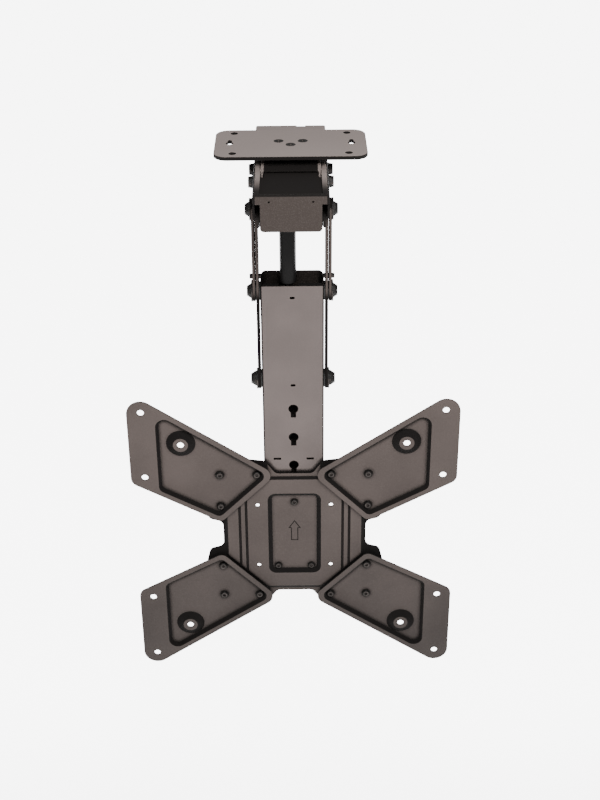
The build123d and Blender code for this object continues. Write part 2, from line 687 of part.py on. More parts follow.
# Arm cover: the front sheet with slots and a column of keyholes
key_heights = [KEY_TOP_Z - KEY_PITCH * step for step in range(KEY_COUNT)]
with BuildPart() as arm_cover:
    with BuildSketch(front_plane(COVER_BACK)):
        with Locations((0, (ARM_TOP + ARM_BOTTOM) / 2)):
            Rectangle(ARM_W, ARM_TOP - ARM_BOTTOM)
        fillet(vertices().group_by(Axis.Z)[-1], 2.0)
        with Locations(*[(0, z) for z in SLOT_Z]):
            SlotOverall(SLOT_W, SLOT_H, mode=Mode.SUBTRACT)
        for z in key_heights:
            with Locations((0, z)):
                Circle(KEY_D / 2, mode=Mode.SUBTRACT)
            with Locations((0, z - KEY_NECK_L / 2)):
                Rectangle(KEY_NECK_W, KEY_NECK_L, mode=Mode.SUBTRACT)
        with Locations((-SIDE_SLOT_X, SIDE_SLOT_Z), (SIDE_SLOT_X, SIDE_SLOT_Z)):
            Rectangle(SIDE_SLOT_W, SIDE_SLOT_H, mode=Mode.SUBTRACT)
    extrude(amount=COVER_T)
    cover_front = arm_cover.faces().filter_by(Axis.Y).sort_by(Axis.Y)[0]
    chamfer(cover_front.outer_wire().edges(), 0.6)
    with BuildSketch(front_plane(COVER_BACK)):
        with Locations((0, ARM_TOP - COVER_T / 2)):
            Rectangle(2 * (ARM_IN - LOOSE), COVER_T)
    extrude(amount=-COVER_RETURN)
    with BuildSketch(front_plane(COVER_BACK)):
        with Locations((STRUT_X, ARM_TOP - COVER_T / 2)):
            Rectangle(STRUT_D + 2 * STRUT_ROOM, COVER_T)
    extrude(amount=-COVER_RETURN, mode=Mode.SUBTRACT)
    for x, z in PANEL_SCREWS:
        with BuildSketch(screen_plane(-COVER_BACK)):
            with Locations((x, z)):
                Circle(PANEL_SCREW_D / 2 + LOOSE)
        extrude(amount=COVER_T, mode=Mode.SUBTRACT)
keep(arm_cover.part, "arm_cover")

# Rivets that join the two bars of each side just above the middle pivot
rivets = []
for side in (-1, 1):
    with BuildPart() as rivet:
        with BuildSketch(side_plane(side, INNER_BAR_IN, RIVET_Y, RIVET_Z)):
            Circle(RIVET_D / 2)
        extrude(amount=outer_face - INNER_BAR_IN)
        with BuildSketch(side_plane(side, outer_face, RIVET_Y, RIVET_Z)):
            Circle(RIVET_HEAD_D / 2)
        extrude(amount=RIVET_HEAD_H)
        with BuildSketch(side_plane(side, INNER_BAR_IN, RIVET_Y, RIVET_Z)):
            Circle(RIVET_HEAD_D / 2)
        extrude(amount=-RIVET_INNER_H)
        ends = rivet.faces().filter_by(Axis.X).sort_by(Axis.X)
        chamfer(ends[0].edges() + ends[-1].edges(), RIVET_EDGE)
        with BuildSketch(side_plane(side, inner_face, RIVET_Y, RIVET_Z)):
            Circle(RIVET_HEAD_D / 2)
        extrude(amount=OUTER_BAR_IN - inner_face)
    rivets.append(rivet.part)
keep(group(rivets), "bar_rivets")

# Gas strut: a tube that swings on its upper pin and a rod that slides in it
tube_plane = Plane(origin=(STRUT_X, 0, STRUT_TOP_Z), x_dir=(1, 0, 0), z_dir=(0, STRUT_LOW_Y, -STRUT_DROP_L))
with BuildPart() as strut_cylinder:
    with BuildSketch(tube_plane.offset(STRUT_NECK + 2)):
        Circle(STRUT_D / 2)
    extrude(amount=STRUT_TUBE - STRUT_NECK - 2)
    fillet(strut_cylinder.edges().group_by(Axis.Z)[-1], 2.5)
    chamfer(strut_cylinder.edges().group_by(Axis.Z)[0], 1.2)
    with BuildSketch(tube_plane.offset(STRUT_NECK + 6)):
        Circle(STRUT_D / 2 - STRUT_WALL)
    extrude(amount=STRUT_TUBE - STRUT_NECK - 6 - STRUT_CAP, mode=Mode.SUBTRACT)
    with BuildSketch(tube_plane.offset(STRUT_TUBE)):
        Circle(ROD_D / 2 + RUNNING)
    extrude(amount=-STRUT_CAP - 1, mode=Mode.SUBTRACT)
    with BuildSketch(Plane.YZ.offset(STRUT_X - EYE_W / 2)):
        with Locations((0, STRUT_TOP_Z)):
            Circle(EYE_R)
        with Locations((0, STRUT_TOP_Z - STRUT_NECK / 2 - 1.5)):
            Rectangle(EYE_R * 1.4, STRUT_NECK + 3)
    extrude(amount=EYE_W)
    with BuildSketch(Plane.YZ.offset(STRUT_X - EYE_W)):
        with Locations((0, STRUT_TOP_Z)):
            Circle(STRUT_PIN_D / 2 + RUNNING)
    extrude(amount=2 * EYE_W, mode=Mode.SUBTRACT)
keep(strut_cylinder.part, "strut_cylinder")

rod_plane = Plane(origin=(STRUT_X, STRUT_LOW_Y, STRUT_LOW_Z), x_dir=(1, 0, 0), z_dir=ROD_DIR)
with BuildPart() as strut_rod:
    with BuildSketch(rod_plane.offset(LOW_EYE_R - 2)):
        Circle(ROD_D / 2)
    extrude(amount=ROD_TOP - LOW_EYE_R + 2)
    with BuildSketch(rod_plane.offset(ROD_TOP - PISTON_L)):
        Circle(STRUT_D / 2 - STRUT_WALL - RUNNING)
    extrude(amount=PISTON_L)
    with BuildSketch(Plane.YZ.offset(STRUT_X - EYE_W / 2)):
        with Locations((STRUT_LOW_Y, STRUT_LOW_Z)):
            Circle(LOW_EYE_R)
    extrude(amount=EYE_W)
    with BuildSketch(Plane.YZ.offset(STRUT_X - EYE_W / 2)):
        with Locations((STRUT_LOW_Y, STRUT_LOW_Z)):
            Circle(LOW_EYE_BORE / 2)
    extrude(amount=EYE_W, mode=Mode.SUBTRACT)
keep(strut_rod.part, "strut_rod")


def cross_pin(y, z, reach, label):
    """A plain pin that spans two walls."""
    with BuildPart() as pin:
        with BuildSketch(Plane.YZ.offset(-reach)):
            with Locations((y, z)):
                Circle(STRUT_PIN_D / 2)
        extrude(amount=2 * reach)
        chamfer(pin.faces().filter_by(Axis.X).edges(), 0.5)
    keep(pin.part, label)


cross_pin(0, STRUT_TOP_Z, CHEEK_OUT, "strut_upper_pin")
cross_pin(STRUT_LOW_Y, STRUT_LOW_Z, ARM_HALF, "strut_lower_pin")

# Backing plate inside the arm that the panel screws bite into
with BuildPart() as backing_plate:
    with BuildSketch(screen_plane(-COVER_BACK - BACKING_T)):
        with Locations((0, (PANEL_SCREWS[0][1] + PANEL_SCREWS[1][1]) / 2)):
            height = PANEL_SCREWS[0][1] - PANEL_SCREWS[1][1] + 2 * BACKING_EDGE
            RectangleRounded(2 * (PANEL_SCREWS[2][0] + BACKING_EDGE), height, 5.0)
        with Locations(*PANEL_SCREWS):
            Circle(PANEL_SCREW_D / 2 + RUNNING, mode=Mode.SUBTRACT)
    extrude(amount=BACKING_T)
keep(backing_plate.part, "backing_plate")

# Centre plate: a pressed sheet with ears, a raised field, two ribs and a recess
field_low = FIELD_LINE - WING_IN_SLOPE * FIELD_X
field_side = (FIELD_LINE - FIELD_Z) / WING_IN_SLOPE


def field_outline():
    """The raised field: a rectangle whose corners follow the wings."""
    corners = [
        (FIELD_X, field_low), (field_side, FIELD_Z), (-field_side, FIELD_Z), (-FIELD_X, field_low),
        (-FIELD_X, -field_low), (-field_side, -FIELD_Z), (field_side, -FIELD_Z), (FIELD_X, -field_low),
    ]
    with BuildSketch() as field:
        with BuildLine():
            Polyline(*corners, close=True)
        make_face()
        fillet(vertices(), FIELD_R)
    return field.sketch


def plate_plane(forward):
    """The screen plane moved up to the middle of the centre plate."""
    return Plane(origin=(0, -forward, SCREEN_Z + PLATE_SHIFT), x_dir=(1, 0, 0), z_dir=(0, -1, 0))


with BuildPart() as centre_plate:
    with BuildSketch(plate_plane(EAR_BACK)):
        with BuildLine():
            quarter = [
                (NOTCH_SIDE_X, NOTCH_SIDE_Z), (EAR_X, EAR_LOW), (EAR_BULGE, EAR_MID),
                (EAR_X, EAR_HIGH), (EAR_FAR_X, EAR_FAR), (EAR_TOP_X, EAR_TOP),
                (NOTCH_TOP_X, NOTCH_TOP_Z),
            ]
            upper = quarter + [(-x, z) for x, z in reversed(quarter)]
            lower = [(-x, -z) for x, z in upper]
            Polyline(*upper, *lower, close=True)
        make_face()
        fillet(vertices(), EAR_R)
    extrude(amount=SHEET_T)
    with BuildSketch(plate_plane(PAN_BACK)):
        add(field_outline())
    extrude(amount=RAISE, taper=FIELD_LEAN)
    with BuildSketch(plate_plane(EAR_BACK)):
        add(field_outline())
    extrude(amount=RAISE, taper=FIELD_LEAN, mode=Mode.SUBTRACT)
    for x in GROOVE_X:
        half = WING_IN_LINE - WING_IN_SLOPE * x + GROOVE_UNDER
        with BuildSketch(plate_plane(PAN_BACK + RAISE)):
            with Locations((-x, 0), (x, 0)):
                SlotOverall(2 * half, GROOVE_W, rotation=90)
        extrude(amount=-GROOVE_DEEP, taper=GROOVE_LEAN, mode=Mode.SUBTRACT)
    depth = FIELD_FRONT - RECESS_FRONT
    wall_grow = SHEET_T * 0.6
    with BuildSketch(plate_plane(RECESS_FRONT - SHEET_T)):
        RectangleRounded(RECESS_W + 2 * wall_grow, RECESS_H + 2 * wall_grow, RECESS_R + wall_grow)
    extrude(amount=depth + SHEET_T - 0.6, taper=-RECESS_LEAN)
    with BuildSketch(plate_plane(RECESS_FRONT)):
        RectangleRounded(RECESS_W, RECESS_H, RECESS_R)
    extrude(amount=depth, taper=-RECESS_LEAN, mode=Mode.SUBTRACT)
    with BuildSketch(screen_plane(0)):
        with GridLocations(2 * HOLE_100, 2 * HOLE_100, 2, 2):
            Circle(SMALL_HOLE_D / 2)
        with Locations(*[(sx * x, sz * z) for x, z in WING_SCREWS for sx in (-1, 1) for sz in (-1, 1)]):
            Circle(M6_D / 2 + LOOSE)
        with Locations(*PANEL_SCREWS):
            Circle(PANEL_SCREW_D / 2 + LOOSE)
    extrude(amount=WING_FRONT, mode=Mode.SUBTRACT)
    with BuildSketch(screen_plane(RECESS_FRONT)):
        with BuildLine():
            Polyline(
                (0, ARROW_TIP), (ARROW_W / 2, ARROW_HEAD), (ARROW_STEM / 2, ARROW_HEAD),
                (ARROW_STEM / 2, ARROW_FOOT), (-ARROW_STEM / 2, ARROW_FOOT),
                (-ARROW_STEM / 2, ARROW_HEAD), (-ARROW_W / 2, ARROW_HEAD), close=True,
            )
        make_face()
        offset(amount=-ARROW_LINE, mode=Mode.SUBTRACT)
    extrude(amount=-ARROW_DEEP, mode=Mode.SUBTRACT)
keep(centre_plate.part, "centre_plate")


def wing_corners(inset, outer_x, inner_inset):
    """The four corners of a wing in its quarter, moved in from each edge."""
    top = (WING_TOP_LINE - inset * (1 + WING_TOP_SLOPE**2) ** 0.5, WING_TOP_SLOPE)
    low = (WING_LOW_LINE + inset * (1 + WING_LOW_SLOPE**2) ** 0.5, WING_LOW_SLOPE)
    inner = (WING_IN_LINE + inner_inset * (1 + WING_IN_SLOPE**2) ** 0.5, -WING_IN_SLOPE)

    def meet(one, two):
        x = (two[0] - one[0]) / (one[1] - two[1])
        return (x, one[0] + one[1] * x)

    return [
        (outer_x, top[0] + top[1] * outer_x), meet(top, inner), meet(inner, low),
        (outer_x, low[0] + low[1] * outer_x),
    ]


def wing(side, up, label):
    """A pressed wing: flat rim and tab, a sunk pan and a boss in the pan."""
    def outline(corners, radii):
        with BuildSketch() as shape:
            with BuildLine():
                Polyline(*[(side * x, up * z) for x, z in corners], close=True)
            make_face()
            for (x, z), radius in zip(corners, radii):
                fillet(vertices().sort_by_distance((side * x, up * z, 0))[0], radius)
        return shape.sketch

    rim = wing_corners(0, TAB_OUT, 0)
    pan = wing_corners(PAN_RIM, TAB_OUT - TAB_W, PAN_RIM)
    tub = wing_corners(PAN_RIM - SHEET_T * 0.6, TAB_OUT - TAB_W + SHEET_T * 0.6, PAN_RIM - SHEET_T * 0.6)
    with BuildPart() as sheet:
        with BuildSketch(screen_plane(WING_FRONT - SHEET_T)):
            add(outline(rim, RIM_RADII))
        extrude(amount=SHEET_T)
        with BuildSketch(screen_plane(WING_FRONT - 0.3)):
            add(outline(tub, TUB_RADII))
        extrude(amount=-PAN_DEEP - SHEET_T + 0.3, taper=PAN_TAPER)
        with BuildSketch(screen_plane(WING_FRONT)):
            add(outline(pan, PAN_RADII))
        extrude(amount=-PAN_DEEP, taper=PAN_TAPER, mode=Mode.SUBTRACT)
        with BuildSketch(screen_plane(PAN_FRONT)):
            with Locations((side * HOLE_300, up * HOLE_300)):
                Circle(BOSS_BASE_R)
        extrude(amount=PAN_DEEP, taper=BOSS_LEAN)
        with BuildSketch(screen_plane(PAN_BACK)):
            with Locations((side * HOLE_300, up * HOLE_300)):
                Circle(BOSS_BASE_R - 1.0)
        extrude(amount=PAN_DEEP, taper=BOSS_LEAN, mode=Mode.SUBTRACT)
        with BuildSketch(screen_plane(0)):
            with Locations((side * HOLE_400, up * HOLE_400), (side * HOLE_400, up * HOLE_200)):
                Circle(SCREEN_HOLE_D / 2)
            with Locations((side * HOLE_300, up * HOLE_300)):
                Circle(SCREEN_HOLE_D / 2)
            with Locations(*[(side * x, up * z) for x, z in WING_SCREWS]):
                Circle(M6_D / 2 + LOOSE)
        extrude(amount=WING_FRONT, mode=Mode.SUBTRACT)
    keep(sheet.part, label)


for up, level in ((1, "upper"), (-1, "lower")):
    for side, name in ((-1, "left"), (1, "right")):
        wing(side, up, f"{level}_{name}_wing")

wing_spots = [(sx * x, sz * z) for x, z in WING_SCREWS for sx in (-1, 1) for sz in (-1, 1)]
wing_screws = []
wing_nuts = []
for x, z in wing_spots:
    pan_seat = Plane(origin=(x, -PAN_FRONT, SCREEN_Z + z), x_dir=(1, 0, 0), z_dir=(0, -1, 0))
    wing_screws.append(button_screw(pan_seat, M6_D, BUTTON_D, BUTTON_H, 2 * SHEET_T + M6_NUT_H + 0.8))
    wing_nuts.append(hex_nut(pan_seat.offset(-2 * SHEET_T - M6_NUT_H), M6_D + 2 * RUNNING, M6_NUT_AF, M6_NUT_H))
keep(group(wing_screws), "wing_screws")
keep(group(wing_nuts), "wing_nuts")
panel_screws = []
for x, z in PANEL_SCREWS:
    panel_seat = Plane(origin=(x, -RECESS_FRONT, SCREEN_Z + z), x_dir=(1, 0, 0), z_dir=(0, -1, 0))
    grip = SHEET_T + COVER_T + BACKING_T + THREAD_OUT
    panel_screws.append(button_screw(panel_seat, PANEL_SCREW_D, PANEL_HEAD_D, PANEL_HEAD_H, grip))
keep(group(panel_screws), "panel_screws")
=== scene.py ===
# %% [markdown]
# # A fold-down ceiling mount, dressed for its portrait
# The mount is powder-coated sheet steel: plates that were cut, punched and pressed, held together with
# dark bolts. Every rigid piece already has its true shape in the loaded model, so this lesson is about
# finish. We load the pieces, read the whole object's box and keep it, because the dressed model has to
# stay inside it.

# %% Load the model
import json
from math import pi, radians

import bmesh
import bpy
from mathutils import Matrix, Vector


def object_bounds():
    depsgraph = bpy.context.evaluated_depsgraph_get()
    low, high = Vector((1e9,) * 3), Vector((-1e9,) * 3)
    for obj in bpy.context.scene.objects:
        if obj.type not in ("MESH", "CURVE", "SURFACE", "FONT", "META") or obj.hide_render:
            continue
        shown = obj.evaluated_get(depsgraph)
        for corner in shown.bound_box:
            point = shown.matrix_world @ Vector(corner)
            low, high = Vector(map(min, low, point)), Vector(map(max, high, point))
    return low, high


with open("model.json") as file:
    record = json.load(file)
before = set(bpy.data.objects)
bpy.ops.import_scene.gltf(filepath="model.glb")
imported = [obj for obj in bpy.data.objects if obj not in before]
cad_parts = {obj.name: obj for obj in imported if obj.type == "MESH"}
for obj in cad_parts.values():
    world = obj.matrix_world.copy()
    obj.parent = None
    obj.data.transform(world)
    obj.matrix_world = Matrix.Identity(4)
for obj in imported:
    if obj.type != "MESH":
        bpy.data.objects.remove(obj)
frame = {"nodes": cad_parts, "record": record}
model_box = [list(corner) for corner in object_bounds()]
print("pieces loaded:", len(frame["nodes"]))

# %% [markdown]
# # Writing shader maths as Python
# A material in Blender is a graph of small nodes, and long graphs are hard to read as code. The class
# below wraps one output socket. Adding, subtracting or multiplying such wrapped sockets adds the Math
# node that does it, so a mask can be written as an ordinary expression. Every other node comes from one
# method, `node`.

# %% A socket that understands arithmetic
class Value:
    """One output socket of a material, with operators that add Math nodes."""

    def __init__(self, paint, socket):
        self.paint = paint
        self.socket = socket

    def maths(self, operation, *others):
        """Adds the Math node that works on this socket and, for some operations, another."""
        return self.paint.node("ShaderNodeMath", {"operation": operation}, dict(enumerate((self, *others))))

    def __add__(self, other):
        return self.maths("ADD", other)

    def __sub__(self, other):
        return self.maths("SUBTRACT", other)

    def __rsub__(self, other):
        return self.paint.node("ShaderNodeMath", {"operation": "SUBTRACT"}, {0: other, 1: self})

    def __mul__(self, other):
        return self.maths("MULTIPLY", other)

    __radd__ = __add__
    __rmul__ = __mul__

    def between(self, low, high):
        """0 below low, 1 above high and a smooth ramp in between."""
        settings = {"interpolation_type": "SMOOTHSTEP"}
        sockets = {"Value": self, "From Min": low, "From Max": high}
        return self.paint.node("ShaderNodeMapRange", settings, sockets, "Result")


def methods(kind):
    """The names of what a class can do."""
    return ", ".join(name for name, tool in vars(kind).items() if callable(tool))


print("a wrapped socket has:", methods(Value))

# %% [markdown]
# # One paint box for every finish
# `Paint` makes a material with its Principled shader and offers the few things that the finishes share:
# places on the object, noise at a real size, a colour mix and a bump. Object coordinates are used for all
# of them, because they stay with the piece when the mount folds. Every piece was modelled in the frame of
# the whole mount, so they are also places on the mount as it hangs at rest.

# %% The paint box
class Paint:
    """A material under construction."""

    def __init__(self, name):
        self.material = bpy.data.materials.new(name)
        self.material.use_nodes = True
        self.nodes = self.material.node_tree.nodes
        self.links = self.material.node_tree.links
        self.shader = self.nodes["Principled BSDF"]
        self.place = self.node("ShaderNodeTexCoord", {}, {}, "Object")

    def node(self, kind, settings, sockets, output=0):
        """Adds a node: its type, its settings, then the values or links of its sockets."""
        made = self.nodes.new(kind)
        for key, setting in settings.items():
            setattr(made, key, setting)
        for key, given in sockets.items():
            self.feed(made.inputs[key], given)
        return Value(self, made.outputs[output])

    def feed(self, socket, given):
        """Links a wrapped socket, or sets a plain value or an opaque colour."""
        if isinstance(given, Value):
            self.links.new(given.socket, socket)
        elif socket.type == "RGBA":
            socket.default_value = (*given, 1.0)
        else:
            socket.default_value = given

    def set(self, **given):
        """Feeds the Principled shader: roughness=..., base_color=..."""
        for key, value in given.items():
            words = key.replace("_", " ").title().replace("Ior", "IOR")
            self.feed(self.shader.inputs[words], value)

    def noise(self, size, detail):
        """Soft noise whose lumps are about `size` metres across."""
        sockets = {"Vector": self.place, "Scale": 1.0 / size, "Detail": detail}
        return self.node("ShaderNodeTexNoise", {"noise_dimensions": "3D"}, sockets, "Fac")

    def mix(self, factor, first, second):
        """A colour between two others."""
        sockets = {0: factor, 6: first, 7: second}
        return self.node("ShaderNodeMix", {"data_type": "RGBA"}, sockets, 2)

    def along(self, axis):
        """Where a point lies along one axis of the whole mount, in metres."""
        return self.node("ShaderNodeSeparateXYZ", {}, {"Vector": self.place}, axis)

    def relief(self, height, distance, strength):
        """A bump that feeds the shader's normal."""
        sockets = {"Height": height, "Distance": distance, "Strength": strength}
        self.set(normal=self.node("ShaderNodeBump", {}, sockets, "Normal"))


print("the paint box has:", methods(Paint))

# %% [markdown]
# # Which faces catch the light
# Pressed sheet shows its shape by contrast: broad faces that look at the lamps are grey, while folds, cut
# edges, pressed steps, corners and backs read nearly black. Here that contrast is painted, so that the
# model keeps it under any light. Two masks find the broad open faces: one by where a face looks
# on its own piece, the other by how much of its surroundings is open, which leaves out the corners.

# %% Broad and open faces
LIT_SIDES = {"Y": -1, "Z": 1}
FACE_ON = (0.90, 0.985)
CORNER_REACH = 0.006
OPENNESS = (0.77, 0.96)
OPENNESS_RAYS = 6


def facing(paint, axis):
    """1 on sheet that faces the front (Y) or the top (Z), 0 on its back, its cut edges and its steps."""
    normal = paint.node("ShaderNodeTexCoord", {}, {}, "Normal")
    side = paint.node("ShaderNodeSeparateXYZ", {}, {"Vector": normal}, axis)
    return (side * LIT_SIDES[axis]).between(*FACE_ON)


def in_the_open(paint):
    """1 on open sheet, 0 in the corners where it meets a step or another piece."""
    settings, sockets = {"samples": OPENNESS_RAYS}, {"Distance": CORNER_REACH}
    return paint.node("ShaderNodeAmbientOcclusion", settings, sockets, "AO").between(*OPENNESS)


print("lit sides:", LIT_SIDES)

# %% [markdown]
# # Powder coat
# Powder coat is a paint baked on as dust. It is satin and has a skin like very fine orange peel. Its grey
# is a little uneven, and painted shade darkens it towards the lower wings, where less light falls. Pale
# dust speckles it, and two fine noises lift the surface. Away from the broad open faces a near black takes
# over as painted shade, and the coat is rougher there, so that it hardly gleams.

# %% The coat
# The near black is the colour of the painted shade.
NEAR_BLACK = (0.0065, 0.0052, 0.0048)
DUST = (0.26, 0.22, 0.20)
# Heights over which painted shade darkens the coat down the mount.
PAINTED_FALLOFF_HEIGHTS = (-0.78, -0.46)
CLOUD_SHARE, DUST_SHARE, RIPPLE_SHARE = 0.35, 0.10, 0.5
CLOUD_SIZE, DUST_SIZE, PATCH_SIZE = 0.11, 0.0012, 0.004
CLOUD_RANGE, DUST_RANGE = (0.3, 0.7), (0.45, 0.8)
PEEL_SIZE, RIPPLE_SIZE = 0.0009, 0.0032
PEEL_DEPTH, PEEL_STRENGTH = 0.0001, 0.3
SATIN, PATCHY, DULLER = 0.42, 0.10, 0.40
COAT_GLEAM, LOW_GLEAM, LEAST_GLEAM = 0.16, 0.12, 0.10
SHEET_LIGHT, SHEET_DARK = (0.0965, 0.0760, 0.0690), (0.0385, 0.0305, 0.0278)


def cloudy_grey_and_painted_falloff(paint, light, dark):
    """The coat's grey: cloudy at random, and darker down the mount by painted shade, where less light
    falls.
    """
    cloud = paint.noise(CLOUD_SIZE, detail=3.0).between(*CLOUD_RANGE)
    # Painted shade: the grey darkens down the mount, towards the lower wings, where less light falls.
    height = paint.along("Z").between(*PAINTED_FALLOFF_HEIGHTS)
    return paint.mix(CLOUD_SHARE * cloud + (1 - CLOUD_SHARE) * height, dark, light)


def speckled(paint, ground):
    """A colour with fine pale dust in it."""
    dust = paint.noise(DUST_SIZE, detail=1.0).between(*DUST_RANGE)
    return paint.mix(dust * DUST_SHARE, ground, DUST)


def powder_coat(name, light, dark, axis, lit_where=None, gleam=COAT_GLEAM):
    """Satin powder coat: grey where open sheet faces one axis, nearly black painted shade elsewhere."""
    paint = Paint(name)
    grey = speckled(paint, cloudy_grey_and_painted_falloff(paint, light, dark))
    # Painted light and shade: grey on open faces to the lamps; near black on backs, edges, steps, corners.
    lit = facing(paint, axis) * in_the_open(paint)
    if lit_where:
        lit = lit * lit_where(paint)
    paint.set(
        base_color=paint.mix(lit, NEAR_BLACK, grey),
        roughness=SATIN + PATCHY * paint.noise(PATCH_SIZE, detail=2.0) + DULLER * (1 - lit),
        specular_ior_level=gleam,
    )
    skin = paint.noise(PEEL_SIZE, detail=2.0) + RIPPLE_SHARE * paint.noise(RIPPLE_SIZE, detail=1.0)
    paint.relief(skin, PEEL_DEPTH, PEEL_STRENGTH)
    return paint.material


sheet = powder_coat("coat_sheet", SHEET_LIGHT, SHEET_DARK, "Y")
print("coat nodes:", len(sheet.node_tree.nodes))

# %% [markdown]
# # Coats that are light only in places
# Some pieces catch the light on a part of their broad face only. Rounded edges turn away from it, one
# piece stands in the shade of another, and a pressed sheet shows its field and not its ears. Each has a
# mask of its own, which takes its places from the piece's box and from distances in metres.

# %% Where each piece is light
EDGE_FADE = 0.0008
COVER_ROUNDING, TOP_ROUNDING, SHOULDER_ROUNDING = 0.00135, 0.0022, 0.0027
FLANGE_WIDTH, FLANGE_FADE = 0.0031, 0.0015
LIP_SHADE = (0.0055, 0.0605)
PIVOT_FADE = 0.006


def reach(name, axis):
    """The lowest and the highest place of a piece along an axis: 0 for X, 1 for Y, 2 for Z."""
    places = [corner[axis] for corner in frame["nodes"][name].bound_box]
    return min(places), max(places)


def near_the_sides(paint, name, width, fade=EDGE_FADE):
    """1 in a strip of that width along the two sides of a piece, 0 in its middle."""
    strip = reach(name, 0)[1] - width
    return paint.along("X").maths("ABSOLUTE").between(strip - fade, strip)


def inside_the_edges(paint):
    """The cover's two long edges roll away from the light."""
    return 1 - near_the_sides(paint, "arm_cover", COVER_ROUNDING)


def below_the_top(paint):
    """The front plate is rounded over at its top and at its shoulders, which stay dark."""
    strip = reach("front_plate", 2)[1] - TOP_ROUNDING
    top = paint.along("Z").between(strip - EDGE_FADE, strip)
    shoulders = near_the_sides(paint, "front_plate", SHOULDER_ROUNDING)
    return 1 - top.maths("MAXIMUM", shoulders)


def on_the_flanges(paint):
    """Only the yoke's flanges catch light; its web lies in the ceiling plate's shade."""
    return near_the_sides(paint, "yoke", FLANGE_WIDTH, FLANGE_FADE)


def behind_the_plate(paint):
    """The channel's lips fall into shade towards the front plate."""
    channel_front = reach("channel", 1)[0]
    return (paint.along("Y") - channel_front).between(*LIP_SHADE)


def above_the_middle(paint):
    """The bars gleam between the upper and the middle pivots only."""
    bar_half = reach("short_bar_left", 1)[1]
    middle_pivot = reach("short_bar_left", 2)[0] + bar_half
    return paint.along("Z").between(middle_pivot - PIVOT_FADE, middle_pivot + PIVOT_FADE)


print("the arm cover's width in mm:", round(2000 * reach("arm_cover", 0)[1], 1))

# %% [markdown]
# # The pressed centre plate
# The centre plate is pressed forward into a field, sunk again in the middle into a recess, and an arrow
# is engraved in the recess. Its ears, its steps and the arrow get painted shade and stay dark. Heights
# above the plate's back tell these apart.

# %% Where the centre plate is light
FIELD_HEIGHT = (0.0050, 0.0060)
RECESS_HALF = (0.034, 0.036)
RECESS_HEIGHT = (0.00170, 0.00195)
ARROW_HEIGHT = (0.0012, 0.0014)


def raised_field(paint):
    """Painted light on the centre plate's field and recess; painted shade on its ears and arrow."""
    plate_back = reach("centre_plate", 1)[1]
    height = plate_back - paint.along("Y")
    field = height.between(*FIELD_HEIGHT)
    recess = 1 - paint.along("X").maths("ABSOLUTE").between(*RECESS_HALF)
    arrow = height.between(*ARROW_HEIGHT) - height.between(*RECESS_HEIGHT)
    return field.maths("MAXIMUM", recess) * (1 - arrow)


centre = powder_coat("coat_centre", SHEET_LIGHT, SHEET_DARK, "Y", raised_field)
print("centre coat nodes:", len(centre.node_tree.nodes))

# %% [markdown]
# The other coats are copies of the coat with painted light and shade. The ceiling plate, the channel's lips
# and the yoke's flanges look up and are painted the palest, as lit from above. The cover is painted as pale
# at its top. The front plate, the bars and what lies behind them get painted shade and are darker.

# %% Mix the coats
# Lit and shaded copies of the coat: paler pairs where light falls from above, darker pairs in shade.
TOP_LIGHT, TOP_DARK = (0.176, 0.146, 0.136), (0.152, 0.126, 0.116)
LIP_LIGHT, LIP_DARK = (0.170, 0.141, 0.129), (0.144, 0.118, 0.108)
COVER_LIGHT, COVER_DARK = (0.172, 0.141, 0.132), (0.070, 0.0575, 0.054)
SHADE_LIGHT, SHADE_DARK = (0.018, 0.0145, 0.013), (0.012, 0.010, 0.009)
BAR_LIGHT, BAR_DARK = (0.075, 0.060, 0.054), (0.060, 0.048, 0.043)
FRONT_LIGHT, FRONT_DARK = (0.0430, 0.0333, 0.0297), (0.032, 0.025, 0.022)
cover = powder_coat("coat_cover", COVER_LIGHT, COVER_DARK, "Y", inside_the_edges)
ceiling_coat = powder_coat("coat_ceiling", TOP_LIGHT, TOP_DARK, "Z")
channel_coat = powder_coat("coat_channel", LIP_LIGHT, LIP_DARK, "Z", behind_the_plate)
yoke_coat = powder_coat("coat_yoke", LIP_LIGHT, LIP_DARK, "Z", on_the_flanges, LOW_GLEAM)
shaded = powder_coat("coat_shaded", SHADE_LIGHT, SHADE_DARK, "Y", gleam=LEAST_GLEAM)
bars = powder_coat("coat_bars", BAR_LIGHT, BAR_DARK, "Y", above_the_middle, LEAST_GLEAM)
front = powder_coat("coat_front", FRONT_LIGHT, FRONT_DARK, "Y", below_the_top)
print("materials so far:", len(bpy.data.materials))

# %% [markdown]
# # Fasteners
# Bolts and nuts are blackened steel with fine marks from the turning. Their heads are a little worn.
# Painted light makes them lighter where they look to the front, and painted shade nearly black round about.

# %% Blackened steel
STEEL_DARK, STEEL_WORN_AND_LIT = (0.007, 0.0062, 0.0058), (0.075, 0.063, 0.058)
MARK_SIZE, MARK_DEPTH = 0.0006, 0.00003
WEAR_SIZE, WEAR_RANGE = 0.006, (0.40, 0.7)


def black_steel():
    """Blackened steel with faint tool marks, painted light on front faces and painted shade elsewhere."""
    paint = Paint("black_steel")
    marks = paint.noise(MARK_SIZE, detail=3.0)
    worn = paint.noise(WEAR_SIZE, detail=2.0).between(*WEAR_RANGE)
    # Painted light on faces that look to the front, varied by wear; painted shade elsewhere.
    wear_and_painted_light = facing(paint, "Y") * (0.5 + 0.5 * worn)
    paint.set(
        base_color=paint.mix(wear_and_painted_light, STEEL_DARK, STEEL_WORN_AND_LIT),
        roughness=0.46 + 0.12 * marks,
        specular_ior_level=0.14,
    )
    paint.relief(marks, MARK_DEPTH, strength=0.25)
    return paint.material


finishes = {"coat": sheet, "dark_steel": black_steel()}
print("finishes:", ", ".join(finishes))

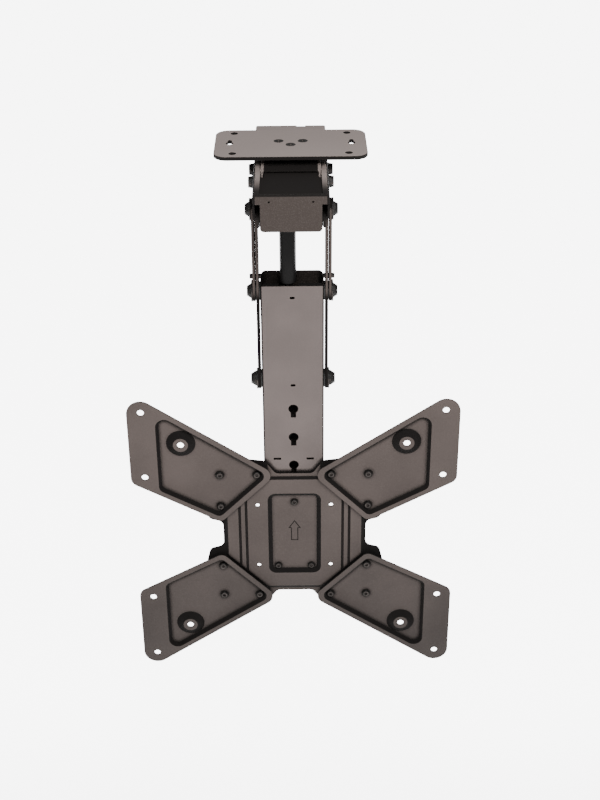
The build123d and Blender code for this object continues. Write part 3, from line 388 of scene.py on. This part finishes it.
# %% [markdown]
# # Nylon and the strut
# The glide rings are moulded in black nylon. The strut's tube has a smooth black paint, and its rod is
# hard chrome that was ground, so its gloss is slightly uneven.

# %% Nylon, paint and chrome
NYLON_DARK, NYLON_PALE = (0.016, 0.016, 0.016), (0.035, 0.034, 0.034)
PAINT_DARK, PAINT_PALE = (0.010, 0.0093, 0.0093), (0.016, 0.015, 0.015)
CHROME_DARK, CHROME_PALE = (0.50, 0.50, 0.51), (0.62, 0.62, 0.63)
NYLON_GRAIN, PAINT_RIPPLE, GRINDING = 0.0008, 0.012, 0.0005
SOFT_DEPTH = 0.0001


def nylon():
    """Black nylon, matt with a moulded grain."""
    paint = Paint("black_nylon")
    grain = paint.noise(NYLON_GRAIN, detail=2.0)
    paint.set(
        base_color=paint.mix(grain, NYLON_DARK, NYLON_PALE),
        roughness=0.55 + 0.15 * grain,
    )
    paint.relief(grain, SOFT_DEPTH, strength=0.4)
    return paint.material


def strut_paint():
    """Smooth black paint with a soft ripple."""
    paint = Paint("strut_paint")
    ripple = paint.noise(PAINT_RIPPLE, detail=1.0)
    paint.set(
        base_color=paint.mix(ripple, PAINT_DARK, PAINT_PALE),
        roughness=0.34 + 0.1 * ripple,
        specular_ior_level=0.12,
    )
    paint.relief(ripple, SOFT_DEPTH, strength=0.2)
    return paint.material


def rod_chrome():
    """Hard chrome with faint marks from grinding."""
    paint = Paint("rod_chrome")
    ground = paint.noise(GRINDING, detail=2.0)
    paint.set(
        base_color=paint.mix(ground, CHROME_DARK, CHROME_PALE),
        roughness=0.12 + 0.12 * ground,
        metallic=1.0,
    )
    return paint.material


finishes.update(nylon=nylon(), strut_paint=strut_paint(), rod_steel=rod_chrome())
print("finishes:", ", ".join(finishes))

# %% [markdown]
# # Dressing the pieces
# The record that came with the model names a material slot for every piece, so dressing is one loop.
# Coated pieces that look up, stand in the shade of others or are light only in places have a coat of
# their own.

# %% Give every piece its finish
# Lit and shaded copies of the coat, with painted light and shade, for the pieces listed here.
variants = {
    "ceiling_plate": ceiling_coat,
    "rear_bridge": ceiling_coat,
    "channel": channel_coat,
    "yoke": yoke_coat,
    "centre_plate": centre,
    "front_plate": front,
    "arm_cover": cover,
    "channel_liner": shaded,
    "pivot_bracket": shaded,
    "arm_channel": shaded,
    "long_bar_left": bars,
    "long_bar_right": bars,
    "short_bar_left": bars,
    "short_bar_right": bars,
}
slots = {row["node"]: row["material_slot"] for row in frame["record"]["subparts"]}
for name, piece in frame["nodes"].items():
    piece.data.materials.clear()
    piece.data.materials.append(variants.get(name, finishes[slots[name]]))
print("dressed:", len(slots))

# %% [markdown]
# # Camera
# The photograph looks down at about thirty degrees from just under two metres away. The hole patterns on
# the screen plate have standard sizes, so the camera could be worked out from where they fall in the
# picture.

# %% Set up the camera
PHOTO_H = 800.0
FOCAL_PX = 1397.0
SENSOR = 36.0
EYE = (0.003, -1.605, 0.557)
LOOK_DOWN, TURN, ROLL = radians(29.57), radians(-0.21), radians(-0.44)
camera_data = bpy.data.cameras.new("camera")
camera_data.sensor_fit = "VERTICAL"
camera_data.sensor_height = SENSOR
camera_data.lens = FOCAL_PX / PHOTO_H * SENSOR
camera_data.clip_end = 50.0
camera = bpy.data.objects.new("camera", camera_data)
bpy.context.scene.collection.objects.link(camera)
bpy.context.scene.camera = camera
camera.matrix_world = (
    Matrix.Translation(EYE)
    @ Matrix.Rotation(TURN, 4, "Z")
    @ Matrix.Rotation(pi / 2 - LOOK_DOWN, 4, "X")
    @ Matrix.Rotation(ROLL, 4, "Z")
)
print("lens:", round(camera_data.lens, 2))

# %% [markdown]
# # Floor
# The photograph's ground is nearly white, while the mount's front is dark. So the floor is pale, lies
# well below the mount, where it carries no hard shadow, and glows by itself. The glow is weak in front of
# the mount, because it would light the front faces from below, and strong behind it, where the camera
# sees it.

# %% Lay the floor
FLOOR_DROP = 0.55
FLOOR_HALF = 30.0
GLOW_PLACES = (-0.7, 0.6)
WEAK_GLOW = (0.12, 0.12, 0.12)
STRONG_GLOW = (1, 1, 1)
floor_z = model_box[0][2] - FLOOR_DROP
floor_mesh = bpy.data.meshes.new("floor")
grid = bmesh.new()
bmesh.ops.create_grid(grid, x_segments=1, y_segments=1, size=FLOOR_HALF)
grid.to_mesh(floor_mesh)
grid.free()
floor = bpy.data.objects.new("floor", floor_mesh)
floor.location = (0, 0, floor_z)
bpy.context.scene.collection.objects.link(floor)
floor_paint = Paint("pale_floor")
glow = floor_paint.along("Y").between(*GLOW_PLACES)
floor_paint.set(
    base_color=(0.95, 0.95, 0.95),
    roughness=0.9,
    emission_color=floor_paint.mix(glow, WEAK_GLOW, STRONG_GLOW),
    emission_strength=7.0,
)
floor_mesh.materials.append(floor_paint.material)
print("floor at:", round(floor_z, 3))

# %% [markdown]
# # Lamps
# Pictures of dark metal are lit by large soft lamps, so that edges show as broad gleams. The key lamp
# hangs above and in front, a faint fill stands far to the right, and the back lamp lights the top from
# behind. A pale room light does the rest.

# %% Hang the lamps
def soft_lamp(name, place, target, size, watts):
    """A square lamp that faces a target."""
    data = bpy.data.lights.new(name, "AREA")
    data.size = size
    data.energy = watts
    lamp = bpy.data.objects.new(name, data)
    lamp.location = place
    lamp.rotation_euler = (Vector(target) - Vector(place)).to_track_quat("-Z", "Y").to_euler()
    bpy.context.scene.collection.objects.link(lamp)


MIDDLE, TOP = (0, 0, -0.4), (0, 0, 0)
soft_lamp("key", place=(0.16, -0.85, 0.72), target=MIDDLE, size=0.6, watts=25)
soft_lamp("fill", place=(1.5, -1.7, 0.2), target=MIDDLE, size=1.2, watts=1.0)
soft_lamp("back", place=(0, 1.2, 1.6), target=TOP, size=1.4, watts=10)

# %% Light the room
ROOM_LIGHT = 0.38
world = bpy.data.worlds.new("studio")
world.use_nodes = True
world.node_tree.nodes["Background"].inputs["Color"].default_value = (1, 1, 1, 1)
world.node_tree.nodes["Background"].inputs["Strength"].default_value = ROOM_LIGHT
bpy.context.scene.world = world
print("room light:", ROOM_LIGHT)

# %% [markdown]
# # Finish
